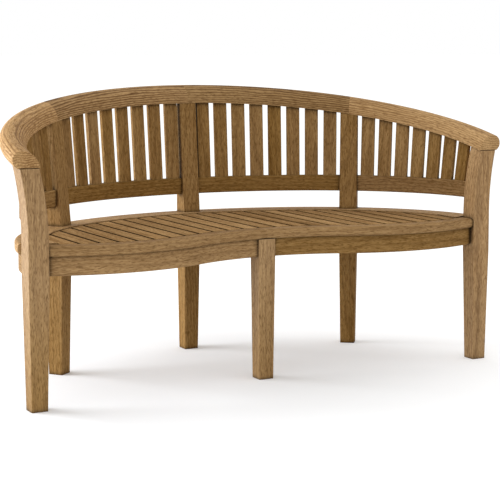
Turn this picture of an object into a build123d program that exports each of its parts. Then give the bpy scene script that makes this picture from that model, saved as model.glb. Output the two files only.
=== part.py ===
from build123d import *
import math
import os

os.makedirs("parts", exist_ok=True)

# Curved garden bench in solid hardwood, millimetres, +Z up, +X along the bench, +Y to the back.
# The five outer legs stand on half an oval, the post line, whose centre lies between the front legs.

# Post line
post_line_half_width = 719.0  # front leg centre from the middle of the bench
post_line_depth = 561.0  # middle back post centre behind the front legs
corner_post_turn = 45.5  # corner post on the oval, degrees round from the front leg

# Legs and posts
foot_size = 46.0
taper_below_apron = 20.0  # a leg reaches its full section this far below the aprons
front_leg_size = 58.0
front_leg_top_width = 53.0
flare_above_seat = 10.0  # a front leg starts to curve outward this far above the seat
leg_flare = 36.0  # outward move of a front leg, taken at the crest of the rail
flare_steps = 5  # sections that guide the curve of a front leg
middle_leg_size = 54.0
middle_leg_back = 62.0  # middle front leg centre behind the outer front legs
post_width = 56.0
post_inner = 30.0  # inner face of a back post from the post line, at the seat
post_outer = 27.0  # outer face of a back post from the post line, at the seat
post_top_depth = 27.0
post_head_in = 1.0  # inner face of a post behind the inner edge of the rail, at its top
leg_edge_round = 3.0

# Top rail: a flat ring with one moulded profile, lying in a tilted plane
rail_inset_side = 7.5  # inner lower edge of the rail inside the post line, at the arms
rail_inset_back = 1.0  # the same at the middle of the back
rail_back_height = 788.0  # inner lower edge of the rail at the middle of the back
rail_tilt = 13.4
rail_base = 63.0  # flat underside
rail_width = 76.0
rail_height = 45.5
rail_nose_height = 23.0  # height of the widest point of the outer side
rail_crest_start = 54.0  # where the outer round meets the top, from the inner edge
rail_shoulder_in = 13.5  # a point on the sloping inner side
rail_shoulder_height = 29.0
rail_end_back = 3.0  # the rail ends this far behind the front faces of the front legs

# Lower back rail and back slats
lower_rail_gap = 59.5  # clear height between the seat and the lower rail
lower_rail_height = 50.5
lower_rail_inner = 12.0  # inner face inside the post line
lower_rail_outer = 16.0  # outer face outside the post line
back_slat_width = 43.0
back_slat_thick = 13.0
back_slat_sink = 12.0  # depth of the slat ends in the two rails
slats_per_back_bay = 8
slats_per_arm_bay = 7
slat_foot_in = 2.0  # slat centre line inside the post line, at the lower rail
slat_lean = 18.0  # slat head further out than its foot
slat_gap_leg = 22.0  # gap between a front leg and the slat beside it
slat_gap_corner = 12.0  # the same at a corner post
slat_gap_middle = 6.5  # the same at the middle post
back_slat_round = 2.0

# Seat
seat_height = 440.0
border_thick = 28.0  # from the top of the aprons to the top of the slats
apron_height = 52.0
apron_thick = 26.0
rear_apron_inner = 8.0  # inner face inside the post line
rear_apron_outer = 20.0  # outer face outside the post line
back_border_lip = 3.0  # the back border stands this far above the slats
back_border_inner = 55.0
back_border_outer = 30.0
lobe_share = 0.647  # foremost point of each seat lobe, as a share of the way to the front leg
lobe_front = 58.0  # front apron face at a lobe, in front of the front leg centres
waist_back = 45.0  # front apron face at the waist, behind the front leg centres
nosing_lap = 12.0  # front border in front of the apron face
nosing_cover = 38.0  # front border behind the apron face
nosing_round = 10.0
border_round = 8.0
arris = 2.0  # eased edges of aprons, borders and rail ends
seat_slat_count = 24
slat_field_inset = 68.5  # side edges of the slat field from the front leg centres
seat_slat_gap = 5.0
seat_slat_thick = 20.0
seat_slat_round = 2.0

# Bearers under the seat
batten_width = 42.0
batten_height = 28.0
front_batten_back = 115.0  # batten centre behind the front leg centres
rear_batten_back = 300.0
batten_housing = 8.0  # depth of the batten ends in the rear aprons
stretcher_width = 28.0
stretcher_height = 30.0

# Joints and fasteners
tenon_length = 22.0
tenon_cheek = 7.0  # shoulder all round a tenon
head_tenon_width = 30.0
head_tenon_thick = 14.0
head_tenon_length = 18.0
middle_leg_tenon = 22.0
middle_leg_tenon_length = 12.0
fit = 0.2  # clearance round tenons, slat ends and fasteners
seat_fit = 0.3  # clearance between slats, borders and posts
dowel_diameter = 10.0
dowel_length = 56.0
dowel_height = 29.0  # dowel centres above the underside of the rail
dowel_places = (27.0, 52.0)  # dowel centres from the inner edge of the rail
screw_diameter = 4.0
screw_head = 8.0
screw_head_height = 3.0
screw_bite = 12.0  # screw length inside the slat
screw_head_sink = 1.0  # screw heads above the underside of a batten

# Values worked out from the sizes above
everything = 4000.0  # larger than the bench, for cutting
right_corner = corner_post_turn
middle_back = 90.0
right_front = 0.0
frame_top = seat_height - border_thick
slat_field_half = post_line_half_width - slat_field_inset
seat_slat_pitch = (2 * slat_field_half - seat_slat_gap) / seat_slat_count
seat_slat_width = seat_slat_pitch - seat_slat_gap
lower_rail_bottom = seat_height + lower_rail_gap
middle_leg_face = middle_leg_size / 2
front_leg_face = post_line_half_width - front_leg_size / 2  # inner face from the middle of the bench
lower_rail_top = lower_rail_bottom + lower_rail_height
apron_bottom = frame_top - apron_height
taper_top = apron_bottom - taper_below_apron
flare_start = seat_height + flare_above_seat
batten_top = seat_height - seat_slat_thick
batten_bottom = batten_top - batten_height
lobe_from_middle = lobe_share * post_line_half_width
lobe_rise = lobe_front + waist_back
front_radius = (lobe_from_middle**2 + lobe_rise**2) / (4 * lobe_rise)
rail_slope = math.tan(math.radians(rail_tilt))
rail_half_width = post_line_half_width - rail_inset_side
rail_depth = post_line_depth - rail_inset_back
rail_foreshortening = math.cos(math.radians(rail_tilt))


def underside(y):
    """Height of the underside of the top rail at a distance behind the front legs."""
    return rail_back_height + rail_slope * (y - rail_depth)


rail_plane = Plane(
    origin=(0, 0, underside(0)),
    x_dir=(1, 0, 0),
    z_dir=(0, -math.sin(math.radians(rail_tilt)), rail_foreshortening),
)
rail_crest = underside(0) + rail_height / rail_foreshortening


def station(turn):
    """Place on the post line: x along the rail to the right, y outward, z up."""
    angle = math.radians(turn)
    along = (post_line_half_width * math.sin(angle), -post_line_depth * math.cos(angle))
    heading = math.degrees(math.atan2(along[1], along[0]))
    x = post_line_half_width * math.cos(angle)
    y = post_line_depth * math.sin(angle)
    return Pos(x, y, 0) * Rot(0, 0, heading)


def half_face(turn):
    """Half the width of the leg or post at a station, measured along the rail."""
    if turn == right_front:
        return front_leg_size / 2
    return post_width / 2


def bay_space(first, last, sink=0.0):
    """Everything between two stations, reaching into each leg by sink."""
    after = Box(everything, everything, everything, align=(Align.MIN, Align.CENTER, Align.CENTER))
    before = Box(everything, everything, everything, align=(Align.MAX, Align.CENTER, Align.CENTER))
    start = station(first) * Pos(half_face(first) - sink, 0, 0) * after
    end = station(last) * Pos(sink - half_face(last), 0, 0) * before
    return start & end


def oval(outset):
    """Face inside the post line moved outward by outset."""
    return Ellipse(post_line_half_width + outset, post_line_depth + outset)


def band(inner, outer, low, high, rounding=0.0):
    """Ring between two ovals, inner inside and outer outside the post line."""
    ring = extrude(Pos(0, 0, low) * (oval(outer) - oval(-inner)), high - low)
    if rounding:
        ring = fillet(ring.edges(), rounding)
    return ring


def raised(face, low, high):
    """Flat face of the plan raised into a solid between two heights."""
    return extrude(Pos(0, 0, low) * face, high - low)


def above_rail(depth):
    """Slab that starts at the underside of the rail and goes up square to it by depth."""
    return rail_plane * Box(everything, everything, depth, align=(Align.CENTER, Align.CENTER, Align.MIN))


def front_zone(setback):
    """Plan area in front of the seat: two lobes and a waist, moved back by setback."""
    lobe_y = front_radius - lobe_front
    waist_y = waist_back - front_radius
    swing = math.degrees(math.atan2(lobe_y - waist_y, lobe_from_middle))
    lobe_radius = front_radius - setback
    reach = post_line_half_width + front_leg_size - lobe_from_middle
    lobe_end = 360 - math.degrees(math.acos(reach / lobe_radius))
    right = CenterArc((lobe_from_middle, lobe_y), lobe_radius, 180 + swing, lobe_end - 180 - swing)
    waist = CenterArc((0, waist_y), front_radius + setback, swing, 180 - 2 * swing)
    left = CenterArc((-lobe_from_middle, lobe_y), lobe_radius, 180 - lobe_end, lobe_end - 180 - swing)
    far = -everything / 2
    outer = right @ 1
    edge = Polyline(right @ 1, (outer.X, far), (-outer.X, far), (-outer.X, outer.Y))
    return make_face([right, waist, left, *edge.edges()])


def front_band(lap, cover):
    """Strip that follows the seat front, from lap in front of the apron face to cover behind it."""
    return front_zone(cover) - front_zone(-lap)


def across(start, end):
    """Everything between two distances from the middle of the bench, the right being positive."""
    return Pos((start + end) / 2, 0, 0) * Box(abs(end - start), everything, everything)


def rail_between(first, last, inner, outer, low, high, rounding):
    """Curved rail from leg to leg with a tenon at each end."""
    body = band(inner, outer, low, high, rounding) & bay_space(first, last)
    return body + rail_tenons(first, last, inner, outer, low, high)


def rail_tenons(first, last, inner, outer, low, high, grow=0.0):
    """The tenoned core of a curved rail, grown for its mortises."""
    cheek = tenon_cheek - grow
    core = band(inner - cheek, outer - cheek, low + cheek, high - cheek)
    return core & bay_space(first, last, tenon_length + grow)


def lower_rail_sizes():
    return lower_rail_inner, lower_rail_outer, lower_rail_bottom, lower_rail_top


def rear_apron_sizes():
    return rear_apron_inner, rear_apron_outer, apron_bottom, frame_top


def curves_at(solid, height):
    """Curved edges of a solid that lie at a height."""
    curves = [edge for edge in solid.edges() if edge.geom_type != GeomType.LINE]
    return [curve for curve in curves if abs((curve @ 0.5).Z - height) < 0.01]


def front_apron_tenons(side, grow=0.0):
    """The tenoned core of a front apron, grown for its mortises; side is 1 for right, -1 for left."""
    cheek = tenon_cheek - grow
    sink = tenon_length + grow
    strip = raised(front_band(-cheek, apron_thick - cheek), apron_bottom + cheek, frame_top - cheek)
    return strip & across(side * (middle_leg_face - sink), side * (front_leg_face + sink))


def front_apron(side):
    """Front apron from the middle front leg to an outer front leg."""
    body = raised(front_band(0, apron_thick), apron_bottom, frame_top)
    body = chamfer(curves_at(body, apron_bottom), arris)
    body = body & across(side * middle_leg_face, side * front_leg_face)
    return body + front_apron_tenons(side)


def seat_stretcher(grow=0.0, ends_only=False):
    """Straight bearer from the middle front leg to the middle back post, tenoned into both."""
    start = middle_leg_back + middle_leg_face
    end = post_line_depth - post_inner
    top = batten_bottom
    cheek = tenon_cheek - grow
    core = Box(
        stretcher_width - 2 * cheek,
        end - start + 2 * (tenon_length + grow),
        stretcher_height - 2 * cheek,
    )
    middle = Pos(0, (start + end) / 2, top - stretcher_height / 2)
    if ends_only:
        return middle * core
    return middle * (Box(stretcher_width, end - start, stretcher_height) + core)


def rail_edge_out(turn):
    """Distance from the post line to the inner lower edge of the top rail, straight outward."""
    place = station(turn)
    out = Vector(0, 1, 0).rotate(Axis.Z, place.orientation.Z)
    x = place.position.X
    y = place.position.Y
    a = (out.X / rail_half_width) ** 2 + (out.Y / rail_depth) ** 2
    b = x * out.X / rail_half_width**2 + y * out.Y / rail_depth**2
    c = (x / rail_half_width) ** 2 + (y / rail_depth) ** 2 - 1
    return (math.sqrt(b * b - a * c) - b) / a


def head_tenon(turn, out, grow=0.0):
    """Tenon on top of a leg, square to the floor, ending parallel to the underside of the rail."""
    peg = Box(head_tenon_width + 2 * grow, head_tenon_thick + 2 * grow, everything)
    return (station(turn) * Pos(0, out, 0) * peg) & above_rail(head_tenon_length + grow)


def leg_section(height, width, inner, outer):
    """Cross-section of a leg at a height: width along the rail, inner and outer from the post line."""
    face = RectangleRounded(width, inner + outer, leg_edge_round)
    return Pos(0, (outer - inner) / 2, height) * face


def leg_shaft(sections):
    """Straight-sided leg through its sections, from the floor up."""
    shaft = loft(sections[:2], ruled=True)
    for low, high in zip(sections[1:], sections[2:]):
        shaft = shaft + loft([low, high], ruled=True)
    return shaft


def square_section(height, size):
    return leg_section(height, size, size / 2, size / 2)


def back_post(turn):
    """Back post: tapered foot, widest at the seat, wedge-shaped up to the rail."""
    inner_top = rail_edge_out(turn) + post_head_in
    outer_top = inner_top + post_top_depth
    cap = rail_crest + rail_slope * rail_depth
    over = (cap - seat_height) / (underside(station(turn).position.Y) - seat_height)
    inner_cap = over * (inner_top + post_inner) - post_inner
    outer_cap = over * (outer_top - post_outer) + post_outer
    sections = [
        square_section(0, foot_size),
        leg_section(taper_top, post_width, post_inner, post_outer),
        leg_section(seat_height, post_width, post_inner, post_outer),
        leg_section(cap, post_width, -inner_cap, outer_cap),
    ]
    post = station(turn) * leg_shaft(sections) - above_rail(everything)
    return post + head_tenon(turn, (inner_top + outer_top) / 2)


def flare_at(height):
    """Outward move of a front leg at a height."""
    return leg_flare * ((height - flare_start) / (rail_crest - flare_start)) ** 2


def flared_section(share):
    """Cross-section of the curved part of a front leg, share of the way up it."""
    height = flare_start + share * (rail_crest - flare_start)
    half = (front_leg_size + share * (front_leg_top_width - front_leg_size)) / 2
    return leg_section(height, front_leg_size, half - flare_at(height), half + flare_at(height))


def front_leg():
    """Right front leg: tapered foot, square at the seat, curving outward to carry the rail end."""
    sections = [
        square_section(0, foot_size),
        square_section(taper_top, front_leg_size),
        square_section(flare_start, front_leg_size),
    ]
    head = loft([flared_section(step / flare_steps) for step in range(flare_steps + 1)])
    leg = station(right_front) * (leg_shaft(sections) + head) - above_rail(everything)
    return leg + head_tenon(right_front, flare_at(underside(0)))


def middle_front_leg():
    """Middle front leg, up to the underside of the seat border, with a stub tenon."""
    sections = [
        square_section(0, foot_size),
        square_section(taper_top, middle_leg_size),
        square_section(frame_top, middle_leg_size),
    ]
    return Pos(0, middle_leg_back, 0) * leg_shaft(sections) + middle_leg_stub()


def middle_leg_stub(grow=0.0):
    side = middle_leg_tenon + 2 * grow
    stub = Box(side, side, middle_leg_tenon_length + grow, align=(Align.CENTER, Align.CENTER, Align.MIN))
    return Pos(0, middle_leg_back, frame_top) * stub


def rail_profile():
    """Moulded section of the top rail: x outward from the inner lower edge, y up from the underside."""
    base = Line((0, 0), (rail_base, 0))
    outside = ThreePointArc((rail_base, 0), (rail_width, rail_nose_height), (rail_crest_start, rail_height))
    shoulder = (rail_shoulder_in, rail_shoulder_height)
    inside = ThreePointArc((rail_crest_start, rail_height), shoulder, (0, 0))
    return make_face([base, outside, inside])


def half_top_rail():
    """Right half of the top rail, from the middle of the back to the front end."""
    path = Edge.make_ellipse(
        rail_half_width,
        rail_depth / rail_foreshortening,
        plane=rail_plane,
        start_angle=-15,
        end_angle=90,
    )
    place = Plane(origin=path @ 1, x_dir=rail_plane.y_dir, z_dir=-(path % 1))
    rail = sweep(place * rail_profile(), path=path)
    front = front_leg_size / 2 - rail_end_back
    keep = Box(everything, everything, everything, align=(Align.CENTER, Align.MIN, Align.CENTER))
    rail = rail & (Pos(0, -front, 0) * keep)
    return fillet(rail.faces().sort_by(Axis.Y)[0].edges(), arris)


def rail_dowels(turn, grow=0.0):
    """Two dowels across the rail joint above a post."""
    pegs = []
    for place in dowel_places:
        spot = station(turn) * Pos(0, rail_edge_out(turn) + place, 0)
        height = underside(spot.position.Y) + dowel_height
        peg = Cylinder(dowel_diameter / 2 + grow, dowel_length + 2 * grow, rotation=(0, 90, 0))
        pegs.append(Pos(0, 0, height) * spot * peg)
    return pegs


def slat_line(first, last):
    """Centre line of the back slats along the lower rail, between two stations."""
    low = min(first, last)
    high = max(first, last)
    half_width = post_line_half_width - slat_foot_in
    depth = post_line_depth - slat_foot_in
    return Edge.make_ellipse(half_width, depth, start_angle=low, end_angle=high)


def end_gap(turn):
    """Gap between a leg or post and the slat beside it."""
    if turn == right_front:
        return slat_gap_leg
    return slat_gap_middle if turn == middle_back else slat_gap_corner


def back_slat_places(first, last, count):
    """Leaning frames of the slats in one bay: x along the rail, z up the slat, origin at its foot."""
    line = slat_line(first, last)
    near = half_face(min(first, last)) + end_gap(min(first, last))
    far = half_face(max(first, last)) + end_gap(max(first, last))
    gap = (line.length - near - far - count * back_slat_width) / (count - 1)
    places = []
    for index in range(count):
        run = near + back_slat_width / 2 + index * (gap + back_slat_width)
        foot = line.position_at(run / line.length)
        along = -line.tangent_at(run / line.length)
        out = along.rotate(Axis.Z, 90)
        rise = underside((foot + out * slat_lean).Y) - lower_rail_top
        up = out * slat_lean + Vector(0, 0, rise)
        places.append(Plane(origin=foot + Vector(0, 0, lower_rail_top), x_dir=along, z_dir=up))
    return places


def back_slat(place, grow=0.0):
    """One back slat, let into the lower rail and the top rail."""
    blank = Box(back_slat_width + 2 * grow, back_slat_thick + 2 * grow, everything / 2)
    if not grow:
        blank = fillet(blank.edges().filter_by(Axis.Z), back_slat_round)
    sink = back_slat_sink + grow
    floor = Box(everything, everything, everything, align=(Align.CENTER, Align.CENTER, Align.MIN))
    blank = place * blank & (Pos(0, 0, lower_rail_top - sink) * floor)
    return blank - (Pos(0, 0, sink / rail_foreshortening) * above_rail(everything))


def slat_field(clearance=0.0):
    """Plan area of the seat slats, between the two borders."""
    inside = oval(-back_border_inner - clearance) & Rectangle(2 * slat_field_half, everything)
    return inside - front_zone(nosing_cover + clearance)


def seat_slat(index):
    """One seat slat, its ends cut to the borders."""
    x = (index - (seat_slat_count - 1) / 2) * seat_slat_pitch
    strip = Pos(x, 0) * Rectangle(seat_slat_width, everything) & slat_field(seat_fit)
    slat = raised(strip, batten_top, seat_height)
    top_edges = slat.edges().filter_by(Axis.Y).group_by(Axis.Z)[-1]
    return x, fillet(top_edges, seat_slat_round)


def near(value, targets):
    return min(abs(value - target) for target in targets) < 0.01


def front_border(side):
    """One half of the front border, with a rounded nosing that follows the seat front."""
    board = raised(front_band(nosing_lap, nosing_cover), frame_top, seat_height)
    nose_radii = (front_radius + nosing_lap, front_radius - nosing_lap)
    arcs = board.edges().filter_by(GeomType.CIRCLE)
    nose = [arc for arc in arcs if near(arc.radius, nose_radii)]
    board = fillet(nose, nosing_round)
    back_radii = (front_radius - nosing_cover, front_radius + nosing_cover)
    back = [arc for arc in curves_at(board, seat_height) if near(arc.radius, back_radii)]
    board = chamfer(back, arris)
    return (board & across(0, side * front_leg_face)) - middle_leg_stub(fit)


def back_border():
    """Right half of the back border, notched round the posts and butted to the front leg."""
    top = seat_height + back_border_lip
    outside = raised(oval(back_border_outer), frame_top, top)
    outside = fillet(outside.edges(), border_round)
    cut = raised(slat_field() + front_zone(nosing_cover + seat_fit), 0, top + border_thick)
    board = outside - cut
    inside = oval(-back_border_inner).edges()[0]
    lift = Vector(0, 0, top)
    lip = [curve for curve in curves_at(board, top) if inside.distance_to((curve @ 0.5) - lift) < 0.01]
    board = fillet(lip, arris) & across(0, everything)
    corner = Box(everything, everything, everything, align=(Align.MIN, Align.MAX, Align.CENTER))
    board = board - (Pos(front_leg_face - seat_fit, front_leg_size / 2, 0) * corner)
    for turn in (middle_back, right_corner):
        board = board - post_notch(turn)
    return board


def post_notch(turn):
    """Notch for a back post, open to the outside."""
    depth = post_inner + seat_fit
    notch = Box(
        post_width + 2 * seat_fit,
        everything / 10,
        everything,
        align=(Align.CENTER, Align.MIN, Align.CENTER),
    )
    return station(turn) * Pos(0, -depth, 0) * notch


def cut_at(solid, turn):
    """The two pieces of a ring cut square across at a station: before it and after it."""
    after = Box(everything, everything, everything, align=(Align.MIN, Align.CENTER, Align.CENTER))
    return solid - station(turn) * after, solid & station(turn) * after


def seat_batten(back, grow=0.0):
    """Straight bearer under the slats, its lowered ends housed in the rear aprons."""
    width = batten_width + 2 * grow
    bar = Pos(0, back, 0) * Box(everything, width, everything)
    ends = oval(batten_housing - rear_apron_inner + grow)
    batten = raised(ends, batten_bottom - grow, frame_top - seat_fit + grow) & bar
    if grow:
        return batten
    under_slats = raised(slat_field(), batten_bottom, batten_top) & bar
    reach = min(abs(vertex.X) for vertex in under_slats.vertices()) - seat_fit
    return batten + Pos(0, back, batten_top - batten_height / 2) * Box(2 * reach, width, batten_height)


def slat_screw(x, y, grow=0.0):
    """Countersunk screw from below, through a batten into a slat."""
    head_low = batten_bottom + screw_head_sink - grow
    radius = screw_diameter / 2 + grow
    upward = (Align.CENTER, Align.CENTER, Align.MIN)
    head = Cone(screw_head / 2 + grow, radius, screw_head_height, align=upward)
    length = batten_top + screw_bite - head_low + grow
    shank = Cylinder(radius, length, align=upward)
    return Pos(x, y, head_low) * (head + shank)


def mirrored(solid):
    return mirror(solid, about=Plane.YZ)


pieces = {}


def add_pair(name, solid):
    """Keep a right-hand piece and its left-hand twin."""
    pieces[name + "_right"] = solid
    pieces[name + "_left"] = mirrored(solid)


bays = (
    ("back", middle_back, right_corner, slats_per_back_bay),
    ("arm", right_corner, right_front, slats_per_arm_bay),
)
battens = {"front": front_batten_back, "rear": rear_batten_back}

# Legs and posts, with the mortises of everything tenoned into them
right_leg = front_leg()
corner_post = back_post(right_corner)
middle_post = back_post(middle_back)
middle_leg = middle_front_leg()
for name, first, last, count in bays:
    for sizes in (lower_rail_sizes(), rear_apron_sizes()):
        mortises = rail_tenons(first, last, *sizes, grow=fit)
        right_leg = right_leg - mortises
        corner_post = corner_post - mortises
        middle_post = middle_post - mortises - mirrored(mortises)
right_leg = right_leg - front_apron_tenons(1, fit)
middle_leg = middle_leg - front_apron_tenons(1, fit) - front_apron_tenons(-1, fit)
stretcher_mortises = seat_stretcher(grow=fit, ends_only=True)
middle_leg = middle_leg - stretcher_mortises
middle_post = middle_post - stretcher_mortises
add_pair("front_leg", right_leg)
add_pair("back_post", corner_post)
pieces["back_post_middle"] = middle_post
pieces["front_leg_middle"] = middle_leg

# Back slats, the rails that hold them, and the rear aprons
top_rail = half_top_rail()
for turn in (middle_back, right_corner):
    out = rail_edge_out(turn) + post_head_in + post_top_depth / 2
    top_rail = top_rail - head_tenon(turn, out, fit)
    for peg in rail_dowels(turn, fit):
        top_rail = top_rail - peg
top_rail = top_rail - head_tenon(right_front, flare_at(underside(0)), fit)
housings = [seat_batten(back, fit) for back in battens.values()]
rail_parts = dict(zip(("back", "arm"), cut_at(top_rail, right_corner)))
for name, first, last, count in bays:
    places = back_slat_places(first, last, count)
    slats = [back_slat(place) for place in places]
    mortises = [back_slat(place, fit) for place in places]
    lower_rail = rail_between(first, last, *lower_rail_sizes(), rounding=leg_edge_round)
    apron = rail_between(first, last, *rear_apron_sizes(), rounding=arris)
    for mortise in mortises:
        lower_rail = lower_rail - mortise
        rail_parts[name] = rail_parts[name] - mortise
    for housing in housings:
        apron = apron - housing
    add_pair("back_slats_" + name, Compound(slats))
    add_pair("lower_rail_" + name, lower_rail)
    add_pair("rear_apron_" + name, apron)
    add_pair("top_rail_" + name, rail_parts[name])
pegs = rail_dowels(middle_back)
for peg in rail_dowels(right_corner):
    pegs.extend((peg, mirrored(peg)))
pieces["rail_dowels"] = Compound(pegs)

# Seat: aprons, borders, bearers, slats and their screws
for side, word in ((1, "right"), (-1, "left")):
    pieces["front_apron_" + word] = front_apron(side)
    pieces["seat_front_border_" + word] = front_border(side)
border_back, border_arm = cut_at(back_border(), right_corner)
add_pair("seat_back_border_back", border_back)
add_pair("seat_back_border_arm", border_arm)
pieces["seat_stretcher"] = seat_stretcher()
bearers = {name: seat_batten(back) for name, back in battens.items()}
screws = []
for index in range(seat_slat_count):
    x, slat = seat_slat(index)
    for name, back in battens.items():
        margin = batten_width / 2
        if slat.bounding_box().max.Y > back + margin:
            slat = slat - slat_screw(x, back, fit)
            bearers[name] = bearers[name] - slat_screw(x, back, fit)
            screws.append(slat_screw(x, back))
    pieces[f"seat_slat_{index + 1:02d}"] = slat
for name, bearer in bearers.items():
    pieces["seat_batten_" + name] = bearer
pieces["slat_screws"] = Compound(screws)

# The origin is on the floor, under the middle of the bench
extents = [shape.bounding_box() for shape in pieces.values()]
foremost = min(extent.min.Y for extent in extents)
rearmost = max(extent.max.Y for extent in extents)
middle = (foremost + rearmost) / 2
to_origin = Pos(0, -middle, 0)
for name, shape in pieces.items():
    export_step(to_origin * shape, f"parts/{name}.step")
print(len(pieces), "nodes; front leg centres", round(middle, 2), "in front of the origin")
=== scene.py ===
# %% [markdown]
# # Curved garden bench
# The bench arrives as finished solids: every leg, rail, border and slat already has its true shape.
# What is left for Blender is what the eye reads as teak: grain that runs the length of each board,
# boards that differ from their neighbours, eased edges that catch the light, and a soft studio.

# %% Load the bench
import bpy
import math
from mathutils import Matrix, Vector

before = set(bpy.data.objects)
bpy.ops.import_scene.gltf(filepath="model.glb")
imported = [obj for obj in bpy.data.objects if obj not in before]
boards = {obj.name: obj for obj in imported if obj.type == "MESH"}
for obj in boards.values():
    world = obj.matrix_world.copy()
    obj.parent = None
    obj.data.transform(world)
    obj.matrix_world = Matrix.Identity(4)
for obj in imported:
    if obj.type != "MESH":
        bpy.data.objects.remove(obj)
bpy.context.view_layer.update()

# %% [markdown]
# ## Plan of the bench
# The outer legs stand on half an oval. Its centre lies between the front legs, in front of the
# origin, and the grain of every curved rail follows it. The sizes repeat those of the solids, in
# metres, because a mesh no longer knows the curve that it was made from.

# %% Plan sizes
oval_half_width = 0.719
oval_depth = 0.561
front_legs_y = -0.27983
print("oval", 2 * oval_half_width, "wide,", oval_depth, "deep")

# %% [markdown]
# ## Camera
# The picture was taken from the left of the bench, a little above the rail, through a long lens.
# The vertical edges hardly converge, so part of the downward look is lens shift and not tilt.

# %% Camera
camera_left = 2.0350
camera_ahead = 3.6514
camera_height = 0.9574
look_down = 0.0848
look_right = 0.4924
camera_data = bpy.data.cameras.new("camera")
camera_data.sensor_width = 36.0
camera_data.lens = 105.63
camera_data.shift_y = -0.151
camera = bpy.data.objects.new("camera", camera_data)
camera.location = (-camera_left, front_legs_y - camera_ahead, camera_height)
camera.rotation_euler = (math.pi / 2 - look_down, 0.0, -look_right)
bpy.context.scene.collection.objects.link(camera)
bpy.context.scene.camera = camera
print("camera at", [round(v, 3) for v in camera.location])

# %% [markdown]
# ## Node helpers
# A material is a small graph. One helper adds a node and fills its inputs, linking them when the
# value is another node's output, so each graph below reads from top to bottom.


# %% Node helpers
def put(tree, kind, inputs=None, **settings):
    """Add a shader node; inputs are values or sockets, by name or number."""
    made = tree.nodes.new("ShaderNode" + kind)
    for key, value in settings.items():
        setattr(made, key, value)
    for key, value in (inputs or {}).items():
        if isinstance(value, bpy.types.NodeSocket):
            tree.links.new(value, made.inputs[key])
        else:
            made.inputs[key].default_value = value
    return made


def calc(tree, operation, *values, clamp=False):
    """Result of one Math node."""
    made = put(tree, "Math", dict(enumerate(values)), operation=operation, use_clamp=clamp)
    return made.outputs[0]


def shift(tree, operation, first, second):
    """Result of one Vector Math node."""
    return put(tree, "VectorMath", {0: first, 1: second}, operation=operation).outputs[0]


def ramp(tree, value, stops):
    """Colour ramp through grey stops, read as one value; the first two stops are its ends."""
    made = put(tree, "ValToRGB", {"Fac": value})
    points = made.color_ramp.elements
    for index, (place, grey) in enumerate(stops):
        point = points[index] if index < 2 else points.new(place)
        point.position = place
        point.color = (grey, grey, grey, 1.0)
    return made.outputs["Color"]


print("helpers:", ", ".join(helper.__name__ for helper in (put, calc, shift, ramp)))

# %% [markdown]
# ## Node groups
# What many boards share, such as grain, edge wear and grime, could be built again in each material.
# A node group is built once and placed in each of them with its own values, as a tool with dials.


# %% Node groups
def start_group(name, takes, gives):
    """Node group with named inputs and outputs: its tree, its input and its output sockets."""
    tree = bpy.data.node_groups.new(name, "ShaderNodeTree")
    for label, kind, value in takes:
        socket = tree.interface.new_socket(label, in_out="INPUT", socket_type="NodeSocket" + kind)
        if value is not None:
            socket.default_value = value
    for label, kind in gives:
        tree.interface.new_socket(label, in_out="OUTPUT", socket_type="NodeSocket" + kind)
    taken = tree.nodes.new("NodeGroupInput").outputs
    given = tree.nodes.new("NodeGroupOutput").inputs
    return tree, taken, given


print("helper:", start_group.__name__)

# %% [markdown]
# ## Grain of a plank
# A board is a slice through a tree's growth rings. Painting streaks on each face would break at the
# edges, so the rings are made as a solid pattern: layers across the board, bent by slow noise that
# is stretched along the trunk. Faces, edges and end grain then agree wherever the solid is cut.
# The group takes plank coordinates, x along the grain, and gives four masks.

# %% Plank grain
grain, taken, given = start_group(
    "plank_grain",
    [("Plank", "Vector", None), ("Ring Lean", "Float", 0.0), ("Rings per Metre", "Float", 110.0)],
    [("Rings", "Float"), ("Fibre", "Float"), ("Pores", "Float"), ("Tone", "Float")],
)
turned = {"Vector": taken["Plank"], "Angle": taken["Ring Lean"]}
leaned = put(grain, "VectorRotate", turned, rotation_type="X_AXIS").outputs[0]


def stretched(along, across, detail, roughness=0.5):
    """Noise drawn out along the grain, in cycles per metre."""
    place = shift(grain, "MULTIPLY", leaned, (along, across, across))
    values = {"Vector": place, "Scale": 1.0, "Detail": detail, "Roughness": roughness}
    return put(grain, "TexNoise", values).outputs["Fac"]


slow_bend_rings = 4.5
quick_bend_rings = 1.1
slow = stretched(along=1.6, across=12.0, detail=2.0)
quick = stretched(along=12.0, across=60.0, detail=2.0)
bend = calc(grain, "MULTIPLY", slow, slow_bend_rings)
bend = calc(grain, "MULTIPLY_ADD", quick, quick_bend_rings, bend)
layer = put(grain, "SeparateXYZ", {0: leaned}).outputs["Z"]
ring_number = calc(grain, "MULTIPLY_ADD", layer, taken["Rings per Metre"], bend)
ring_stops = [(0.0, 0.0), (1.0, 0.0), (0.45, 0.15), (0.80, 1.0), (0.90, 0.6)]
grain.links.new(ramp(grain, calc(grain, "FRACT", ring_number), ring_stops), given["Rings"])
fibre_noise = stretched(along=45.0, across=260.0, detail=4.0, roughness=0.62)
grain.links.new(fibre_noise, given["Fibre"])
pore_noise = stretched(along=70.0, across=400.0, detail=1.0)
pore_stops = [(0.54, 0.0), (0.66, 1.0)]
grain.links.new(ramp(grain, pore_noise, pore_stops), given["Pores"])
grain.links.new(stretched(along=0.9, across=14.0, detail=2.0), given["Tone"])
print("grain group with", len(grain.nodes), "nodes")

# %% [markdown]
# ## Oiled teak
# Oiled teak is a warm, quiet brown with darker latewood lines, open pores and a dull sheen. The
# second group turns the masks into colour, roughness and height. Boards from different trees differ,
# so each material gives it a board value that makes the whole board paler or deeper.

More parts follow.
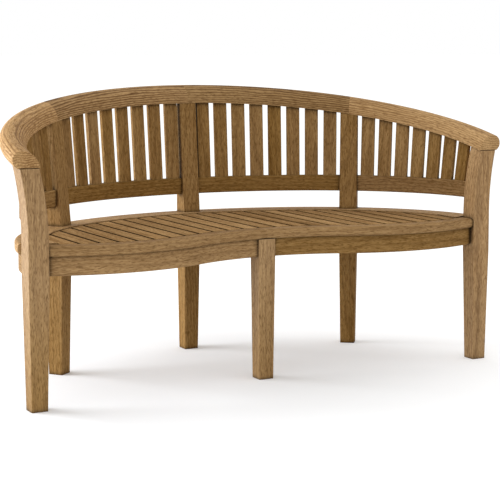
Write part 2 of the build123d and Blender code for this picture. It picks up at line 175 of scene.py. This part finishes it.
# %% Teak group
teak, taken, given = start_group(
    "oiled_teak",
    [
        ("Rings", "Float", 0.0),
        ("Fibre", "Float", 0.0),
        ("Pores", "Float", 0.0),
        ("Tone", "Float", 0.0),
        ("Board", "Float", 0.5),
        ("Line Depth", "Float", 0.65),
        ("Wear", "Float", 0.0),
        ("Painted Shade", "Float", 0.0),
    ],
    [("Color", "Color"), ("Roughness", "Float"), ("Height", "Float")],
)


def mixed(factor, first, second):
    """Mix of two colours in the teak group; a colour Mix has its inputs at 0, 6 and 7."""
    return put(teak, "Mix", {0: factor, 6: first, 7: second}, data_type="RGBA").outputs[2]


def weighed(value, weight, offset=0.0):
    """Value times weight plus offset, kept between 0 and 1."""
    return calc(teak, "MULTIPLY_ADD", value, weight, offset, clamp=True)


fibre = weighed(taken["Fibre"], weight=2.7, offset=-0.85)
tone = weighed(taken["Tone"], weight=2.4, offset=-0.7)
print("teak group starts with", len(teak.nodes), "nodes")

# %% Teak colour
teak_pale = (0.438, 0.274, 0.120, 1.0)
teak_deep = (0.190, 0.098, 0.031, 1.0)
teak_line = (0.095, 0.043, 0.012, 1.0)
teak_worn = (0.450, 0.300, 0.160, 1.0)
# Painted shade: this near-black colour darkens shut-in corners and the sides of seat slats.
teak_painted_shade = (0.022, 0.012, 0.005, 1.0)
fibre_share = 0.55
tone_share = 0.45
streaks = calc(teak, "MULTIPLY_ADD", tone, tone_share, calc(teak, "MULTIPLY", fibre, fibre_share))
body = mixed(streaks, teak_pale, teak_deep)
fading_rings = calc(teak, "MULTIPLY", taken["Rings"], weighed(tone, weight=0.45, offset=0.35))
ring_lines = calc(teak, "MULTIPLY", fading_rings, taken["Line Depth"], clamp=True)
lined = mixed(ring_lines, body, teak_line)
pored = mixed(weighed(taken["Pores"], weight=0.55), lined, teak_line)
worn = mixed(weighed(taken["Wear"], weight=0.40), pored, teak_worn)
# Painted shade is mixed in here, where the corner and slat-side mask is high.
with_painted_shade = mixed(weighed(taken["Painted Shade"], weight=0.97), worn, teak_painted_shade)
deepest_level = 0.84
level_per_board = 0.50
level = calc(teak, "MULTIPLY_ADD", taken["Board"], level_per_board, deepest_level)
richness = {"Value": taken["Board"], "From Max": 0.65, "To Min": 1.12, "To Max": 0.97}
rich = put(teak, "MapRange", richness).outputs[0]
shade = put(teak, "HueSaturation", {"Saturation": rich, "Value": level, "Color": with_painted_shade})
teak.links.new(shade.outputs[0], given["Color"])
print("teak group has", len(teak.nodes), "nodes with its colour")

# %% Teak sheen and relief
dull_fibre = weighed(fibre, weight=0.12, offset=0.56)
dull = calc(teak, "ADD", dull_fibre, weighed(taken["Pores"], weight=0.15))
teak.links.new(dull, given["Roughness"])
fibre_relief = 0.4
sunk_pores = weighed(taken["Pores"], weight=-0.6, offset=0.6)
relief = calc(teak, "ADD", sunk_pores, weighed(taken["Rings"], weight=0.25))
teak.links.new(calc(teak, "MULTIPLY_ADD", fibre, fibre_relief, relief), given["Height"])
print("teak group with", len(teak.nodes), "nodes")

# %% [markdown]
# ## Handled edges
# Sanded and handled edges are a little paler than the faces. The solids have their eased edges, and
# the Bevel node finds them: where its rounded normal leaves the true one, an edge is near.

# %% Edge wear
edge_inputs = [("Radius", "Float", 0.003), ("Amount", "Float", 1.0)]
edges, taken, given = start_group("handled_edges", edge_inputs, [("Wear", "Float")])
rounded = put(edges, "Bevel", {"Radius": taken["Radius"]}, samples=4).outputs[0]
facing = put(edges, "NewGeometry").outputs["Normal"]
agreement = put(edges, "VectorMath", {0: rounded, 1: facing}, operation="DOT_PRODUCT")
edge_stops = [(0.90, 1.0), (0.995, 0.0)]
near_edge = ramp(edges, agreement.outputs["Value"], edge_stops)
edges.links.new(calc(edges, "MULTIPLY", near_edge, taken["Amount"]), given["Wear"])
print("edge group with", len(edges.nodes), "nodes")

# %% [markdown]
# ## Painted shade in the joints
# Joints, corners and the gaps of the seat are painted dark, as shade. The Ambient Occlusion node
# finds corners that are shut in by other boards within a finger's width. A seat slat is painted
# dark all down its sides and round its edges, which a Bevel node finds: there its rounded normal
# turns away from the vertical.

# %% Painted shade
painted_shade_inputs = [("Distance", "Float", 0.016), ("Edge", "Float", 0.006), ("Sides", "Float", 0.0)]
painted_shade, taken, given = start_group("painted_joint_shade", painted_shade_inputs, [("Painted Shade", "Float")])
# Painted shade: the colour goes darker where the Ambient Occlusion node finds shut-in corners.
shut_in = put(painted_shade, "AmbientOcclusion", {"Distance": taken["Distance"]}, samples=6).outputs["AO"]
corner_stops = [(0.36, 1.0), (0.86, 0.0)]
corners = ramp(painted_shade, shut_in, corner_stops)
eased = put(painted_shade, "Bevel", {"Radius": taken["Edge"]}, samples=6).outputs[0]
upward = calc(painted_shade, "ABSOLUTE", put(painted_shade, "SeparateXYZ", {0: eased}).outputs["Z"])
side_stops = [(0.94, 1.0), (0.998, 0.0)]
sides = calc(painted_shade, "MULTIPLY", ramp(painted_shade, upward, side_stops), taken["Sides"])
painted_shade.links.new(calc(painted_shade, "MAXIMUM", corners, sides), given["Painted Shade"])
print("grime group with", len(painted_shade.nodes), "nodes")

# %% [markdown]
# ## Pale and deep boards
# The boards of a bench differ in tone. Those that stand out get theirs by name. The others get one
# from a seed that counts up from board to board: multiplied by a stride, its fraction jumps about
# like chance, and a rerun still saws the same boards.

# %% Board tones
board_tones = {
    "front_leg_left": 0.76,
    "front_leg_middle": 0.70,
    "front_leg_right": 1.25,
    "back_post_left": 0.34,
    "back_post_middle": 0.30,
    "back_post_right": 0.26,
    "top_rail_arm_left": 1.75,
    "top_rail_arm_right": 1.35,
    "top_rail_back_left": 1.00,
    "top_rail_back_right": 0.55,
    "front_apron_left": 0.75,
    "front_apron_right": 0.18,
    "seat_front_border_left": 0.62,
    "seat_front_border_right": 0.60,
    "seat_back_border_back_left": 0.95,
    "seat_back_border_back_right": 1.05,
    "seat_back_border_arm_right": 1.05,
    "lower_rail_back_left": 0.05,
    "lower_rail_back_right": 0.05,
}
palest_seat_board = 1.25
palest_other_board = 0.6
tone_range = 0.5
tone_stride = 0.382


def spread(seed, stride):
    """Value between 0 and 1 that jumps about as the seed counts up."""
    return (seed * stride) % 1.0


def board_tone(node, seed):
    """Board value by name where the board stands out, and by its seed elsewhere."""
    palest = palest_seat_board if node.startswith("seat_") else palest_other_board
    return board_tones.get(node, palest - tone_range * spread(seed, tone_stride))


print("boards with a tone of their own:", len(board_tones))

# %% [markdown]
# ## One material for each board
# Nearly every node is one board. A shared material would saw all of them from one spot, so every node
# gets its own: the same groups with their dials set for this board. The grain's height goes through
# a Bump node, because pores are far too fine to model.


# %% Board material
def finish_board(node, lean, rings=110.0, lines=0.65, wear=1.0, gloss=0.05, shade_on_sides=0.0):
    """Give a node its own teak: the material's tree, and the sockets for plank and board."""
    material = bpy.data.materials.new("teak_" + node)
    material.use_nodes = True
    tree = material.node_tree
    shader = tree.nodes["Principled BSDF"]
    shader.inputs["Specular IOR Level"].default_value = gloss
    masks = put(tree, "Group", node_tree=grain)
    masks.inputs["Ring Lean"].default_value = lean
    masks.inputs["Rings per Metre"].default_value = rings
    handled = put(tree, "Group", node_tree=edges)
    handled.inputs["Amount"].default_value = wear
    # Painted shade for shut-in corners and, when asked, the sides of seat slats.
    painted_shade_node = put(tree, "Group", node_tree=painted_shade)
    painted_shade_node.inputs["Sides"].default_value = shade_on_sides
    finish = put(tree, "Group", node_tree=teak)
    finish.inputs["Line Depth"].default_value = lines
    for label in ("Rings", "Fibre", "Pores", "Tone"):
        tree.links.new(masks.outputs[label], finish.inputs[label])
    tree.links.new(handled.outputs["Wear"], finish.inputs["Wear"])
    tree.links.new(painted_shade_node.outputs["Painted Shade"], finish.inputs["Painted Shade"])
    tree.links.new(finish.outputs["Color"], shader.inputs["Base Color"])
    tree.links.new(finish.outputs["Roughness"], shader.inputs["Roughness"])
    relief = {"Height": finish.outputs["Height"], "Strength": 0.35, "Distance": 0.0006}
    tree.links.new(put(tree, "Bump", relief).outputs[0], shader.inputs["Normal"])
    boards[node].data.materials.clear()
    boards[node].data.materials.append(material)
    return tree, masks.inputs["Plank"], finish.inputs["Board"]


print("groups for a board:", len(bpy.data.node_groups))

# %% [markdown]
# ## Laying the grain
# On a straight board the grain runs the length of the piece. Each mesh has its place in the bench, so
# a Mapping node turns its Object coordinates until the board lies along x, and moves them to another
# place in the log for every seed.

# %% Straight boards
log_length = 5.0
log_width = 3.0
log_strides = (0.618, 0.414, 0.732)


def object_place(tree):
    """Object coordinates, which are the bench's own frame in metres."""
    return put(tree, "TexCoord").outputs["Object"]


def place_in_log(tree, coordinates, seed, turn=(0.0, 0.0, 0.0)):
    """Turn the coordinates onto the plank and move them to the board's own place in the log."""
    along, across, through = (spread(seed, stride) for stride in log_strides)
    move = (along * log_length, across * log_width, through * log_width)
    values = {"Vector": coordinates, "Rotation": turn, "Location": move}
    return put(tree, "Mapping", values).outputs[0]


def straight_board(node, seed, turn, lean, **finish):
    """Teak with straight grain, turned onto x by the angles of turn."""
    tree, plank, board = finish_board(node, lean, **finish)
    tree.links.new(place_in_log(tree, object_place(tree), seed, turn), plank)
    board.default_value = board_tone(node, seed)
    return tree, board


upright = (0.0, math.pi / 2, 0.0)
front_to_back = (0.0, 0.0, -math.pi / 2)
side_to_side = (0.0, 0.0, 0.0)
print("boards are cut from a log", log_length, "m long")

# %% [markdown]
# ## Legs and posts
# Legs are sawn from square stock with the grain upright. The rings cross a leg at any angle, so
# every leg gets its own lean and no two show the same face. Towards the floor each leg's board value
# falls: painted shade for the darkening near the ground, which needs only the height.

# %% Legs and posts
first_leg_seed = 1
foot_shade_height = 0.40
usual_foot_shade = 0.15
foot_shade_depths = {"front_leg_left": 0.80, "front_leg_middle": 0.45, "front_leg_right": 0.45}
least_lean = 0.5
lean_range = 2.1
leg_stride = 0.57
front_leg_gloss = 0.25
back_post_gloss = 0.05
legs = sorted(name for name in boards if name.startswith(("front_leg", "back_post")))
for seed, name in enumerate(legs, first_leg_seed):
    lean = least_lean + lean_range * spread(seed, leg_stride)
    gloss = front_leg_gloss if name.startswith("front_leg") else back_post_gloss
    tree, board = straight_board(name, seed, upright, lean, wear=0.6, gloss=gloss)
    # Painted shade: the board value falls from the leg's own tone to a darker one at the floor.
    unshaded_board = board.default_value
    shaded_foot = unshaded_board - foot_shade_depths.get(name, usual_foot_shade)
    height = put(tree, "SeparateXYZ", {0: object_place(tree)}).outputs["Z"]
    rise = {"Value": height, "From Max": foot_shade_height, "To Min": shaded_foot, "To Max": unshaded_board}
    tree.links.new(put(tree, "MapRange", rise).outputs[0], board)
print("legs:", len(legs))

# %% [markdown]
# ## Seat slats
# The slats run front to back and are flat sawn, so the rings lie nearly flat in the board and open
# into long arches on its face. Their sides and edges are painted dark as shade and hardly worn, and
# rain leaves their faces matt, so they have no gloss.

# %% Seat slats
first_slat_seed = 11
greatest_lean = 0.45
slat_stride = 0.29
# Painted shade all down the slat sides and round their edges.
slat_look = {"wear": 0.1, "gloss": 0.0, "shade_on_sides": 1.0}
slats = sorted(name for name in boards if name.startswith("seat_slat_"))
for seed, name in enumerate(slats, first_slat_seed):
    lean = 2 * greatest_lean * spread(seed, slat_stride) - greatest_lean
    straight_board(name, seed, front_to_back, lean, **slat_look)
print("seat slats:", len(slats))

# %% [markdown]
# ## Grain that follows the oval
# Rails, rear aprons and the back border are bent to the oval, and their grain runs with them. The
# group unrolls the oval: it gives the run along it, the distance out from its centre and the height.
# The run of an ellipse has no plain formula, and a sine added to the angle follows it to less than a
# millimetre here. Rails and slats that lean or slope straighten out with it.

# %% Run of the oval
flatness = ((oval_half_width - oval_depth) / (oval_half_width + oval_depth)) ** 2
run_rate = (oval_half_width + oval_depth) / 2 * (1 + flatness / 4)
run_swell = (oval_half_width - oval_depth) / 4


def run_at(turn):
    """Run along the oval from a front leg to an angle of turn."""
    return run_rate * turn - run_swell * math.sin(2 * turn)


print("run of the whole back", round(2 * run_at(math.pi / 2), 4), "m")

# %% Unrolled oval
slat_foot = 0.550
unroll, taken, given = start_group(
    "unrolled_oval",
    [("Object", "Vector", None), ("Lean", "Float", 0.0), ("Slope", "Float", 0.0)],
    [("Run", "Float"), ("Out", "Float"), ("Rise", "Float"), ("Side", "Float")],
)
spot = put(unroll, "SeparateXYZ", {0: taken["Object"]}).outputs
back = calc(unroll, "SUBTRACT", spot["Y"], front_legs_y)
lean_out = calc(unroll, "MULTIPLY", calc(unroll, "SUBTRACT", spot["Z"], slat_foot), taken["Lean"])
wide = calc(unroll, "DIVIDE", spot["X"], calc(unroll, "ADD", lean_out, oval_half_width))
wide = calc(unroll, "ABSOLUTE", wide)
deep = calc(unroll, "DIVIDE", back, calc(unroll, "ADD", lean_out, oval_depth))
angle = calc(unroll, "ARCTAN2", deep, wide)
swell = calc(unroll, "SINE", calc(unroll, "MULTIPLY", angle, 2.0))
run = calc(unroll, "MULTIPLY_ADD", swell, -run_swell, calc(unroll, "MULTIPLY", angle, run_rate))
on_circle = put(unroll, "CombineXYZ", {0: wide, 1: deep}).outputs[0]
reach = put(unroll, "VectorMath", {0: on_circle}, operation="LENGTH").outputs["Value"]
fall = calc(unroll, "MULTIPLY", back, taken["Slope"])
unroll.links.new(run, given["Run"])
unroll.links.new(calc(unroll, "MULTIPLY", reach, run_rate), given["Out"])
unroll.links.new(calc(unroll, "SUBTRACT", spot["Z"], fall), given["Rise"])
unroll.links.new(calc(unroll, "SIGN", spot["X"]), given["Side"])
print("oval group with", len(unroll.nodes), "nodes")

# %% [markdown]
# ## Rails, rear aprons and back border
# Each of these goes round the bench in four lengths. The top rail also falls towards its arms, so the
# unrolled grain is told its slope. Its rings lie closer and its lines are deeper than on the other
# boards, which a loop over the lengths can give it while the rest keep the usual finish.


# %% Rails, rear aprons and back border
def oval_board(node, seed, lean, slope=0.0, **finish):
    """Teak with its grain bent to the oval."""
    tree, plank, board = finish_board(node, lean, **finish)
    unrolled = put(tree, "Group", node_tree=unroll)
    tree.links.new(object_place(tree), unrolled.inputs["Object"])
    unrolled.inputs["Slope"].default_value = slope
    parts = {0: unrolled.outputs["Run"], 1: unrolled.outputs["Out"], 2: unrolled.outputs["Rise"]}
    flat = put(tree, "CombineXYZ", parts).outputs[0]
    tree.links.new(place_in_log(tree, flat, seed), plank)
    board.default_value = board_tone(node, seed)


bays = ("back", "arm")
hands = ("right", "left")
rail_slope = math.tan(math.radians(13.4))
rail_lean = 0.12
rail_look = {"rings": 160.0, "wear": 0.0, "gloss": 0.06}
rail_lines = {"back": 1.8, "arm": 1.15}
oval_leans = {"lower_rail": 0.55, "rear_apron": 0.7, "seat_back_border": 0.2}
first_curved_seed = 41
seed = first_curved_seed
for bay in bays:
    for hand in hands:
        rail = f"top_rail_{bay}_{hand}"
        oval_board(rail, seed, rail_lean, rail_slope, lines=rail_lines[bay], **rail_look)
        for kind, lean in oval_leans.items():
            seed += 1
            oval_board(f"{kind}_{bay}_{hand}", seed, lean, wear=0.5)
        seed += 1
print("oval boards:", seed - first_curved_seed)

# %% [markdown]
# ## Grain that follows the seat front
# The front border and the front aprons swing in and out like a wave along the bench. A cosine follows
# that wave closely enough, and taking it off the depth lays the grain along the curve.

# %% Unrolled front
lobe_from_middle = 0.465
wave_ahead_of_legs = 0.0065
wave_swing = 0.0515
waves, taken, given = start_group("unrolled_front", [("Object", "Vector", None)], [("Plank", "Vector")])
spot = put(waves, "SeparateXYZ", {0: taken["Object"]}).outputs
wave = calc(waves, "COSINE", calc(waves, "MULTIPLY", spot["X"], math.pi / lobe_from_middle))
front = calc(waves, "MULTIPLY_ADD", wave, wave_swing, front_legs_y - wave_ahead_of_legs)
parts = {0: spot["X"], 1: calc(waves, "SUBTRACT", spot["Y"], front), 2: spot["Z"]}
waves.links.new(put(waves, "CombineXYZ", parts).outputs[0], given["Plank"])
print("front group with", len(waves.nodes), "nodes")

# %% [markdown]
# ## Front aprons and front border
# Two lengths of each meet at the middle leg. They are sawn from broad planks, so their rings lie
# further apart, and the seeds go on counting where the rails stopped.

# %% Front aprons and front border
front_leans = {"front_apron": 0.75, "seat_front_border": 0.35}
for kind, lean in front_leans.items():
    for hand in hands:
        name = f"{kind}_{hand}"
        tree, plank, board = finish_board(name, lean, rings=70.0, wear=0.5)
        unrolled = put(tree, "Group", node_tree=waves)
        tree.links.new(object_place(tree), unrolled.inputs["Object"])
        tree.links.new(place_in_log(tree, unrolled.outputs["Plank"], seed), plank)
        board.default_value = board_tone(name, seed)
        seed += 1
print("curved boards:", seed - first_curved_seed)

# %% [markdown]
# ## Numbered slats
# The slats of one bay of the back share a node, but each is its own board. Their place along the
# unrolled oval tells them apart: the run, counted in slat pitches, gives a number to every slat, and
# the number picks another place in the log and another tone.

# %% Numbered slats
side_step = 20.5
bay_step = 7.0
slat_log = (3.0, 2.0, 2.0)
palest_slat = 0.45
numbered, taken, given = start_group(
    "numbered_slats",
    [
        ("Run", "Float", 0.0),
        ("Out", "Float", 0.0),
        ("Rise", "Float", 0.0),
        ("Side", "Float", 1.0),
        ("Start", "Float", 0.0),
        ("Pitch", "Float", 0.06),
    ],
    [("Plank", "Vector"), ("Board", "Float")],
)
started = calc(numbered, "SUBTRACT", taken["Run"], taken["Start"])
number = calc(numbered, "FLOOR", calc(numbered, "DIVIDE", started, taken["Pitch"]))
number = calc(numbered, "MULTIPLY_ADD", taken["Side"], side_step, number)
number = calc(numbered, "MULTIPLY_ADD", taken["Start"], bay_step, number)
chance = put(numbered, "TexWhiteNoise", {"W": number}, noise_dimensions="1D").outputs
parts = {0: taken["Rise"], 1: taken["Run"], 2: taken["Out"]}
flat = put(numbered, "CombineXYZ", parts).outputs[0]
jump = shift(numbered, "MULTIPLY", chance["Color"], slat_log)
numbered.links.new(shift(numbered, "ADD", flat, jump), given["Plank"])
numbered.links.new(calc(numbered, "MULTIPLY", chance["Value"], palest_slat), given["Board"])
print("slat group with", len(numbered.nodes), "nodes")

# %% [markdown]
# ## Back slats
# A bay runs from one leg or post to the next, and its slats share the room evenly. The pitch could be
# measured on the mesh, but it follows from the run of the bay, the slat's width and the gaps at both
# ends, as it does at the bench maker's.

# %% Back slats
corner_turn = math.radians(45.5)
slat_width = 0.043
slat_lean = 0.09
slat_ring_lean = 0.35
post_half = 0.028
front_leg_half = 0.029
gap_at_leg = 0.022
gap_at_corner = 0.012
gap_at_middle = 0.0065
back_bay_slats = 8
arm_bay_slats = 7
end_at_leg = front_leg_half + gap_at_leg
end_at_corner = post_half + gap_at_corner
end_at_middle = post_half + gap_at_middle
bay_ends = {
    "back": (corner_turn, end_at_corner, math.pi / 2, end_at_middle, back_bay_slats),
    "arm": (0.0, end_at_leg, corner_turn, end_at_corner, arm_bay_slats),
}
for bay, (first, near_end, last, far_end, count) in bay_ends.items():
    start = run_at(first) + near_end
    gap = (run_at(last) - far_end - start - count * slat_width) / (count - 1)
    for hand in hands:
        tree, plank, board = finish_board(f"back_slats_{bay}_{hand}", slat_ring_lean, wear=0.4)
        unrolled = put(tree, "Group", node_tree=unroll)
        tree.links.new(object_place(tree), unrolled.inputs["Object"])
        unrolled.inputs["Lean"].default_value = slat_lean
        slat = put(tree, "Group", node_tree=numbered)
        for label in ("Run", "Out", "Rise", "Side"):
            tree.links.new(unrolled.outputs[label], slat.inputs[label])
        slat.inputs["Start"].default_value = start - gap / 2
        slat.inputs["Pitch"].default_value = slat_width + gap
        tree.links.new(slat.outputs["Plank"], plank)
        tree.links.new(slat.outputs["Board"], board)
    print(bay, "slats", round(gap * 1000, 1), "mm apart")

# %% [markdown]
# ## Bearers and dowels
# A stretcher and two battens carry the seat from below, and dowels cross the joints of the rail. They
# are the same teak and mostly out of sight, so straight grain with the usual finish is enough.

# %% Bearers and dowels
first_bearer_seed = 71
bearer_lean = 0.8
bearers = {
    "seat_stretcher": front_to_back,
    "seat_batten_front": side_to_side,
    "seat_batten_rear": side_to_side,
    "rail_dowels": side_to_side,
}
for seed, (name, turn) in enumerate(bearers.items(), first_bearer_seed):
    straight_board(name, seed, turn, bearer_lean)
print("bearers and dowels:", len(bearers))

# %% [markdown]
# ## Screw steel
# The screws are stainless steel with the fine scratches of their turning. Modelled scratches would be
# smaller than a pixel, so one fine noise moves the steel's colour and roughness instead.

# %% Screw steel
steel_dark = (0.46, 0.46, 0.45, 1.0)
steel_bright = (0.66, 0.66, 0.64, 1.0)
steel = bpy.data.materials.new("screw_steel")
steel.use_nodes = True
tree = steel.node_tree
shader = tree.nodes["Principled BSDF"]
shader.inputs["Metallic"].default_value = 1.0
scratch_noise = {"Vector": object_place(tree), "Scale": 900.0, "Detail": 3.0}
scratches = put(tree, "TexNoise", scratch_noise).outputs["Fac"]
tint = put(tree, "ValToRGB", {"Fac": scratches})
tint.color_ramp.elements[0].color = steel_dark
tint.color_ramp.elements[1].color = steel_bright
tree.links.new(tint.outputs["Color"], shader.inputs["Base Color"])
dullness = put(tree, "MapRange", {"Value": scratches, "To Min": 0.25, "To Max": 0.45}).outputs[0]
tree.links.new(dullness, shader.inputs["Roughness"])
boards["slat_screws"].data.materials.clear()
boards["slat_screws"].data.materials.append(steel)
print("finished", len(bpy.data.materials), "materials")

# %% [markdown]
# ## Floor
# The bench stands on a white floor without a horizon. Its pale paint alone would come out light grey,
# so for the camera it also glows a little, which brings it to white. The glow is weaker round the
# middle of the shadow under the seat, which paints that patch darker: a painted shadow over the real
# one.


# %% Floor
def seen_directly(tree):
    """1 for rays that show a surface to the camera, straight, in a mirror or through glass."""
    path = put(tree, "LightPath").outputs
    mirrored = calc(tree, "MAXIMUM", path["Is Camera Ray"], path["Is Glossy Ray"])
    return calc(tree, "MAXIMUM", mirrored, path["Is Transmission Ray"])


floor_size = 400.0
floor_grey = (0.8, 0.8, 0.8, 1.0)
white = (1.0, 1.0, 1.0, 1.0)
# Painted shadow: less glow near this point darkens the floor round the shadow of the bench.
shadow_middle = (-0.30, 0.05, 0.0)
glow_range = {"From Min": 0.40, "From Max": 1.35, "To Min": 0.13, "To Max": 0.34}
bpy.ops.mesh.primitive_plane_add(size=floor_size, location=(0.0, 0.0, 0.0))
floor = bpy.context.object
floor.name = "floor"
paint = bpy.data.materials.new("white_floor")
paint.use_nodes = True
tree = paint.node_tree
shader = tree.nodes["Principled BSDF"]
shader.inputs["Base Color"].default_value = floor_grey
shader.inputs["Roughness"].default_value = 0.9
shader.inputs["Specular IOR Level"].default_value = 0.0
shader.inputs["Emission Color"].default_value = white
from_shadow = shift(tree, "SUBTRACT", object_place(tree), shadow_middle)
distance = put(tree, "VectorMath", {0: from_shadow}, operation="LENGTH").outputs["Value"]
fading = {"Value": distance, **glow_range}
glow = put(tree, "MapRange", fading, interpolation_type="SMOOTHSTEP").outputs[0]
shown_glow = calc(tree, "MULTIPLY", seen_directly(tree), glow)
tree.links.new(shown_glow, shader.inputs["Emission Strength"])
floor.data.materials.append(paint)
print("floor", tuple(round(v, 1) for v in floor.dimensions))

# %% [markdown]
# ## Softbox
# In the studio most of the light comes evenly from all round, and one softbox behind the left end
# gives the bright left sides. A small lamp would draw hard shadows, so it is a wide area lamp.


# %% Softbox
def softbox(name, place, target, width, height, watts, colour):
    """Rectangular area lamp that faces a target."""
    data = bpy.data.lights.new(name, "AREA")
    data.shape = "RECTANGLE"
    data.size = width
    data.size_y = height
    data.energy = watts
    data.color = colour
    lamp = bpy.data.objects.new(name, data)
    lamp.location = place
    lamp.rotation_euler = (Vector(target) - Vector(place)).to_track_quat("-Z", "Y").to_euler()
    bpy.context.scene.collection.objects.link(lamp)


softbox(
    "left_softbox",
    place=(-2.2, 1.25, 1.0),
    target=(0.0, 0.0, 0.5),
    width=1.8,
    height=1.2,
    watts=70.0,
    colour=(0.96, 1.0, 1.06),
)

# %% [markdown]
# ## Light from all round
# Lamps on every side could give the even light. A white world gives it without their hot spots. Its
# light on the bench is set a touch lower than the white that the camera sees behind it. The Standard
# view shows the colours as they are, so the white stays white.

# %% World
light_level = 0.97
seen_level = 1.0
world = bpy.data.worlds.new("studio")
bpy.context.scene.world = world
world.use_nodes = True
tree = world.node_tree
background = tree.nodes["Background"]
background.inputs["Color"].default_value = white
levels = {"Value": seen_directly(tree), "To Min": light_level, "To Max": seen_level}
tree.links.new(put(tree, "MapRange", levels).outputs[0], background.inputs["Strength"])
bpy.context.scene.view_settings.view_transform = "Standard"
print("world gives light", light_level, "and shows", seen_level)
